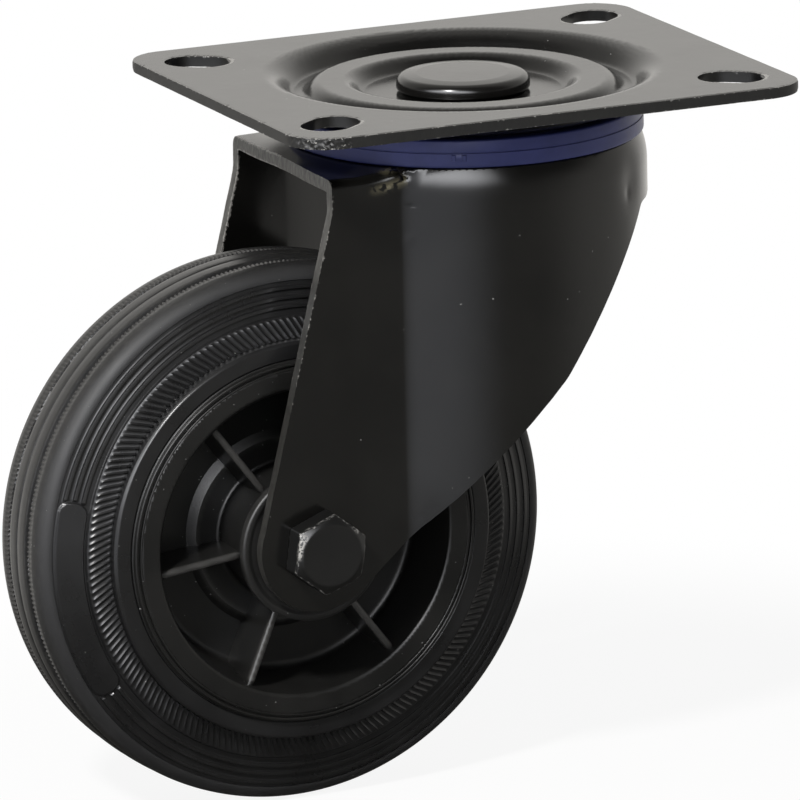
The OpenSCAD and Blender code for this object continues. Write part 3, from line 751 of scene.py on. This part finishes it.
def nutField(x, y, z):
    r = np.sqrt(np.square(x - axleX) + np.square(z - axleZ))
    body = hexHead(x, y, z, nut["base"], nut["height"], hexTurn)
    rise = y - nut["base"] - nut["total"]
    collar = both(r - nut["collar"], np.maximum(rise, nut["base"] - y), 0.7)
    solid = np.maximum(either(body, collar, 0.3), nut["base"] - y)
    pocket = np.maximum(np.abs(rise + 1.3) - 0.7, r - nut["ring"])
    hollow = np.minimum(np.minimum(r - nut["bore"], pocket), np.maximum(r - nut["lip"], -rise - 1.3))
    return np.maximum(solid, -hollow)


points, faces, normals = skinField(nutField, (-48, 22.3, -88), (-32, 30.7, -72), nut["step"])
addPiece("axleNut", points, faces, "fork", ["axle_nut"], zincSteel, normals=normals)

# wheel centre: dished web, hub and drafted ribs in one moulding
wheel = {"bore": 9.0, "hub": 12.4, "hubEnd": 17.74, "web": 4.0, "floorR": 26.4, "mouthR": 28.4, "face": 16.0,
         "outer": 32.3, "ribTop": 14.5, "ribHalf": 0.64, "ribTurn": math.radians(7), "ribs": 6, "draft": 0.03,
         "hubFillet": 0.8, "floorFillet": 1.2, "bossR": 17.0, "boss": 5.0, "bossLean": 1.55, "lip": 0.55,
         "step": 0.56}
wallLean = (wheel["mouthR"] - wheel["floorR"]) / (wheel["face"] - wheel["web"])


def wheelParts(x, y, z):
    u, v, depth = x - axleX, z - axleZ, np.abs(y)
    r = np.sqrt(u * u + v * v)
    hub = both(r - wheel["hub"], depth - wheel["hubEnd"], 0.4)
    wall = (wheel["floorR"] + wallLean * (depth - wheel["web"]) - r) / math.hypot(1, wallLean)
    top = depth - wheel["boss"]
    lean = (r - wheel["bossR"] + wheel["bossLean"] * top) / math.hypot(1, wheel["bossLean"])
    body = either(hub, np.minimum(depth - wheel["web"], np.maximum(top, lean)), wheel["hubFillet"])
    body = either(body, both(wall, depth - wheel["face"], wheel["lip"]), wheel["floorFillet"])
    body = both(body, r - wheel["outer"], 0.25)
    pitch = tau / wheel["ribs"]
    q = np.mod(np.arctan2(v, u) - wheel["ribTurn"] + pitch / 2, pitch) - pitch / 2
    along, across = r * np.cos(q), np.abs(r * np.sin(q))
    half = wheel["ribHalf"] + wheel["draft"] * (wheel["ribTop"] - depth)
    rib = both(across - half, depth - wheel["ribTop"] + 0.02 * (29 - along), 0.5)
    rib = np.maximum(rib, np.maximum(10.5 - along, along - 30.5))
    return body, rib, wheel["bore"] - r, top, lean


def wheelField(x, y, z):
    body, rib, bore, top, lean = wheelParts(x, y, z)
    return np.maximum(np.minimum(body, rib), bore)


def wheelRidges(x, y, z):
    body, rib, bore, top, lean = wheelParts(x, y, z)
    clear = np.where(rib < 0.7, 9.0, 0.0)  # no step under a rib
    return [(body, rib), (top + clear, lean), (lean + clear, np.abs(y) - wheel["web"])]


print("wheel centre")
points, faces, normals = skinField(wheelField, (axleX - 32.5, -17.9, axleZ - 32.5),
                                   (axleX + 32.5, 17.9, axleZ + 32.5), wheel["step"], wheelRidges)
body, rib, bore, top, lean = wheelParts(*points.T)
crown = (body > 0.6) * ease(np.abs(points[:, 1]), 13.2, 13.9)  # painted highlight: rib tops and the step's edge are painted lighter grey
crown = np.maximum(crown, 0.9 * (1 - ease(np.hypot(top, lean), 0.1, 0.5)))
addPiece("wheelCentre", points, faces, "wheel", ["wheel_centre"], wheelPlastic, normals=normals,
         masks={"edge": crown})

# rim lips on both faces, with the fine groove beside the tyre
lips = {"half": [(31.9, 15.6, 0), (32.15, 15.99, 0.1), (32.42, 15.99, 0.14), (32.5, 15.45, 0.06),
                 (32.78, 15.45, 0.06), (32.86, 15.93, 0.14), (33.34, 15.93, 0.2), (33.5, 15.1, 0.1),
                 (33.7, 15.0, 0.0)], "sides": 256}
lipPath = lips["half"] + [(r, -y, q) for r, y, q in lips["half"][::-1]]
points, faces = turned(rounded(lipPath, closed=True, count=4), wheelRing, lips["sides"])
addPiece("rimLips", points, faces, "wheel", [], wheelPlastic, sharp=50)

# dust caps: turned discs with a rolled edge beside the legs
cap = {"path": [(6.4, 19.6, 0.15), (9.5, 19.6, 1.0), (10.2, 19.3, 1.0), (12.2, 19.3, 1.0), (12.9, 19.6, 0.8),
                (13.95, 19.6, 0.55), (14.0, 17.77, 0.3), (9.0, 17.77, 0), (9.0, 15.76, 0.3), (6.4, 15.76, 0.2)],
       "sides": 160, "paintedGlint": (13.5, 13.9)}
print("dust caps")
for capName, capNode, side in (("dustCapNear", "dust_cap_near", -1), ("dustCapFar", "dust_cap_far", 1)):
    profile = [(r, side * y) for r, y in rounded(cap["path"], closed=True, count=5)]
    points, faces = turned(profile, wheelRing, cap["sides"])
    # painted highlight: the rim of each cap is painted lighter
    capEdge = ease(np.hypot(points[:, 0] - axleX, points[:, 2] - axleZ), *cap["paintedGlint"])
    addPiece(capName, points, faces, "wheel", [capNode], capPlastic, masks={"edge": capEdge})

# tyre: beads, slanted hatch, three rings with a bare cartouche, serrated shoulders, grooved tread
tyre = {"hatchCount": 198, "hatchFrom": 37.2, "hatchY": 13.05, "hatchSlope": 0.262, "hatchRise": 0.34,
        "slant": math.radians(0.8), "toothCount": 356, "toothDepth": 0.3, "toothR": 49.8,
        "padFrom": math.radians(165.2), "padTo": math.radians(213.8), "padR": 44.25, "padHalf": 2.6,
        "padRound": 2.1, "padRise": 0.38, "rings": (42.8, 44.35, 46.05), "ringHalf": 0.36, "ringRise": 0.42,
        "ringFrom": 41.4, "ringY": 11.42, "ringSlope": 0.252,
        "bulgeR": 47.1, "bulgeRun": 2.68, "bulgeY": 6.4, "bulgeRise": 3.72}
plainAngles = np.linspace(0, tau, 330, endpoint=False)
hatchShape = np.array([0.0, 0.12, 1.0, 0.35, 0.0])
hatchTurn = np.arange(tyre["hatchCount"] * 5) * tau / (tyre["hatchCount"] * 5)
hatchHeights = np.tile(hatchShape, tyre["hatchCount"])
toothTurn = np.arange(tyre["toothCount"] * 4) * tau / (tyre["toothCount"] * 4)
toothHeights = np.tile(np.array([0.0, 0.25, 1.0, 0.75]), tyre["toothCount"])
padEnds = [tyre["padFrom"], tyre["padTo"]]
ringTurn = np.sort(np.concatenate([np.linspace(0, tau, 300, endpoint=False) + 0.0003]
                                  + [q + np.radians(np.linspace(-3.4, 3.4, 46)) for q in padEnds]))


def cartouche(r, angles):
    middle, half = sum(padEnds) / 2, (padEnds[1] - padEnds[0]) / 2
    u = np.abs(angles - middle) * tyre["padR"] - half * tyre["padR"] + tyre["padRound"]
    v = abs(r - tyre["padR"]) - tyre["padHalf"] + tyre["padRound"]
    return np.hypot(np.maximum(u, 0), max(v, 0)) + np.minimum(np.maximum(u, v), 0) - tyre["padRound"]


def sideRows(side):
    rows, masks = [], []

    def add(r, y, angles=plainAngles, tread=0.0, crest=0.0, dull=0.0):
        rows.append((angles, wheelRing(r, side * y, angles)))
        masks.append(np.stack([tread + 0 * angles, crest + 0 * angles, dull + 0 * angles]))

    for r, y in rounded([(33.72, 5, 0), (33.72, 14.8, 0), (34.0, 15.0, 0.2), (36.6, 15.0, 0.45), (37.02, 14.4, 0.3),
                         (37.06, 13.2, 0)], count=5):
        add(r, y)
    for r, share in ((37.14, 0.0), (37.28, 1.7), (37.46, 1.9), (37.76, 1.0), (38.6, 0.95), (39.7, 0.9),
                     (40.65, 0.75), (40.95, 0.0)):
        level = tyre["hatchY"] - tyre["hatchSlope"] * (r - tyre["hatchFrom"])
        add(r, level + tyre["hatchRise"] * share * hatchHeights, hatchTurn + tyre["slant"] * (r - 39),
            crest=hatchHeights * (1.0 if r < 37.6 else 0.35))
    add(41.15, 11.95)
    add(41.3, 11.55)
    for r in (41.4, 41.58, 41.7, 41.85, 42.05, 42.3, 42.42, 42.52, 42.8, 43.08, 43.18, 43.3, 43.85, 43.97,
              44.07, 44.35, 44.63, 44.73, 44.85, 45.55, 45.67, 45.77, 46.05, 46.33, 46.43, 46.55, 46.7, 46.82,
              46.95, 47.08):
        gap = cartouche(r, ringTurn)
        ring = max(1 - ease(abs(r - c), tyre["ringHalf"] - 0.1, tyre["ringHalf"] + 0.06) for c in tyre["rings"])
        rise = tyre["ringRise"] * ring * ease(gap, 0.15, 0.5) + tyre["padRise"] * (1 - ease(gap, -0.2, 0.06))
        level = tyre["ringY"] - tyre["ringSlope"] * (r - tyre["ringFrom"])
        add(r, level + rise, ringTurn, crest=ring * ease(gap, 0.15, 0.5))
    add(47.14, 9.9, dull=0.8)
    for k, r in enumerate((47.2, 47.45, 47.8, 48.2, 48.6, 48.95, 49.25, 49.5, 49.66, 49.76)):  # one even bulge
        arch = math.sqrt(1 - ((r - tyre["bulgeR"]) / tyre["bulgeRun"]) ** 2)
        add(r, tyre["bulgeY"] + tyre["bulgeRise"] * arch, tread=ease(k, 2.0, 9.0),
            dull=1 - 0.8 * ease(k, 5.0, 9.0))
    for y, share in ((6.5, 0.0), (6.1, 0.3), (5.5, 0.65), (4.95, 0.95), (4.62, 1.0)):
        add(tyre["toothR"] - tyre["toothDepth"] * share * toothHeights, y, toothTurn, tread=1.0)
    for r, y in ((49.28, 4.45), (49.2, 4.3), (49.2, 3.85), (49.3, 3.7), (49.8, 3.58), (49.92, 3.4), (49.97, 2.6),
                 (50.0, 1.6), (49.99, 0.42), (49.95, 0.3), (49.84, 0.14)):
        add(r, y, tread=1.0)
    return rows, masks


print("tyre")
nearRows, nearMasks = sideRows(-1)
farRows, farMasks = sideRows(1)
points, faces = joinRings(nearRows + farRows[::-1])
addPiece("tyreMoulding", points, faces, "wheel", ["tyre"], tyreRubber, sharp=34,
         masks=dict(zip(("tread", "crest", "dull"), np.concatenate(nearMasks + farMasks[::-1], axis=1))))

# floor, light and camera; directions and colours of what the glossy pieces mirror
studio = {"behind": (0.40, 0.915, 0.0), "near": (0.05, 0.048, 0.043), "dark": (0.27, 0.265, 0.25),
          "mid": (0.58, 0.565, 0.535), "warm": (1.0, 0.975, 0.93), "card": (-0.86, -0.5, 0.0),
          "cool": (0.96, 0.98, 1.04), "high": (0.09, 0.088, 0.084), "box": (-0.743, -0.669, 0.0),
          "boxLow": (0.06, 0.36), "boxHigh": (0.6, 0.72), "boxLight": (8.6, 8.7, 9.0), "soft": (0.42, 0.42, 0.42),
          "white": (1, 1, 1)}
ground = {"middle": (-15.0, 0.0, floorZ), "rings": (60, 120, 200), "sides": 64, "matt": (0.8, 0.8, 0.8),
          "pool": (90, 190), "fade": (90, 170), "depth": (-20, 160), "shadow": 0.1}


def addFloor():
    angles = np.linspace(0, tau, ground["sides"], endpoint=False)
    rows = [(angles[:1], np.array([ground["middle"]]))]
    for r in ground["rings"]:
        rows.append((angles, swivelRing(r, 0, angles) + ground["middle"]))
    points, faces = joinRings(rows, closed=False)
    mesh = bpy.data.meshes.new("floor")
    mesh.from_pydata((points * mm).tolist(), [], [[int(v) for v in f] for f in faces])
    floor = bpy.data.objects.new("floor", mesh)
    bpy.context.scene.collection.objects.link(floor)
    material, place = startFinish("paleFloor")
    reach = place.node("ShaderNodeVectorMath", {"operation": "LENGTH"}, {0: place.stretch(1, 1, 0)}, "Value")
    white = place.node("ShaderNodeEmission", {}, {"Color": shade(*studio["white"]), "Strength": 1.0})
    glow = reach.ease(*ground["pool"]).tint(shade(*studio["near"]), shade(*studio["dark"]))
    glow = place.towards(studio["behind"]).ease(*ground["depth"]).tint(glow, shade(*studio["warm"]))
    mirrored = place.node("ShaderNodeEmission", {}, {"Color": glow, "Strength": 1.0})
    matt = place.node("ShaderNodeBsdfDiffuse", {}, {"Color": shade(*ground["matt"])})
    clear = place.node("ShaderNodeBsdfTransparent", {}, {})
    lit = (1 - ground["shadow"]) + ground["shadow"] * reach.ease(*ground["fade"])
    other = place.ray("Is Glossy Ray").blend(matt, mirrored)
    surface = place.ray("Is Camera Ray").blend(other, lit.blend(matt, white))
    under = place.node("ShaderNodeNewGeometry", {}, {}, "Backfacing")  # open to a view from below
    place.node("ShaderNodeOutputMaterial", {}, {"Surface": under.blend(surface, clear)})
    mesh.materials.append(material)


def addStudio():
    world = bpy.data.worlds.new("studio")
    bpy.context.scene.world = world
    world.use_nodes = True
    world.node_tree.nodes.clear()
    start = Wire(world.node_tree)
    way = start.node("ShaderNodeTexCoord", {}, {}, "Generated")
    behind, height = way.towards(studio["behind"]), way.towards((0, 0, 1))
    around = behind.ease(-0.75, -0.1).tint(shade(*studio["dark"]), shade(*studio["mid"]))
    around = behind.ease(0.45, 0.9).tint(around, shade(*studio["warm"]))
    around = way.towards(studio["card"]).ease(0.45, 0.95).tint(around, shade(*studio["cool"]))
    ahead = 1 - behind.ease(-0.3, 0.3)
    around = (ahead * height.ease(0.0, 0.35)).tint(around, shade(*studio["high"]))
    window = height.ease(*studio["boxLow"]) * (1 - height.ease(*studio["boxHigh"]))
    window = window * way.towards(studio["box"]).ease(0.6, 0.88)
    around = window.tint(around, shade(*studio["boxLight"]))
    mirror = start.maths("MINIMUM", start.ray("Is Glossy Ray") + start.ray("Is Transmission Ray"), 1.0)
    around = mirror.tint(shade(*studio["soft"]), around)
    around = start.ray("Is Camera Ray").tint(around, shade(*studio["white"]))
    sky = start.node("ShaderNodeBackground", {}, {"Color": around, "Strength": 1.0})
    start.node("ShaderNodeOutputWorld", {}, {"Surface": sky})


key = {"place": (-535, -405, 570), "aim": (-25, 0, -60), "size": 0.12, "power": 8.0, "colour": (1.0, 0.985, 0.97)}


def addLamp():
    lamp = bpy.data.lights.new("keyLamp", "AREA")
    lamp.shape, lamp.size, lamp.energy, lamp.color = "DISK", key["size"], key["power"], key["colour"]
    lampObject = bpy.data.objects.new("keyLamp", lamp)
    bpy.context.scene.collection.objects.link(lampObject)
    place = Vector(key["place"])
    lampObject.location = place * mm
    lampObject.rotation_euler = (Vector(key["aim"]) - place).to_track_quat("-Z", "Y").to_euler()
    lampObject.visible_camera = False


# the photo's camera, solved from the plate, the slots and the wheel
photo = {"turn": math.radians(-23.75), "rise": math.radians(13.87), "roll": math.radians(-1.26),
         "focal": 10788.0, "away": 1968.0, "target": (-13.9, 0.0, -60.3), "pixels": 800.0, "sensor": 36.0}


def addCamera():
    turn, rise, roll = photo["turn"], photo["rise"], photo["roll"]
    back = Vector((math.sin(turn) * math.cos(rise), -math.cos(turn) * math.cos(rise), math.sin(rise)))
    right = Vector((math.cos(turn), math.sin(turn), 0))
    up = back.cross(right)
    right, up = (math.cos(roll) * right + math.sin(roll) * up, math.cos(roll) * up - math.sin(roll) * right)
    lens = bpy.data.cameras.new("photoCamera")
    lens.sensor_width = photo["sensor"]
    lens.lens = photo["focal"] * photo["sensor"] / photo["pixels"]
    lens.clip_start, lens.clip_end = 0.05, 20.0
    camera = bpy.data.objects.new("photoCamera", lens)
    bpy.context.scene.collection.objects.link(camera)
    spot = (Vector(photo["target"]) + back * photo["away"]) * mm
    camera.matrix_world = Matrix(((right.x, up.x, back.x, spot.x), (right.y, up.y, back.y, spot.y),
                                  (right.z, up.z, back.z, spot.z), (0, 0, 0, 1)))
    bpy.context.scene.camera = camera


print("studio")
addFloor()
addStudio()
addLamp()
addCamera()
bpy.context.scene.view_settings.view_transform = "Standard"

print("done")
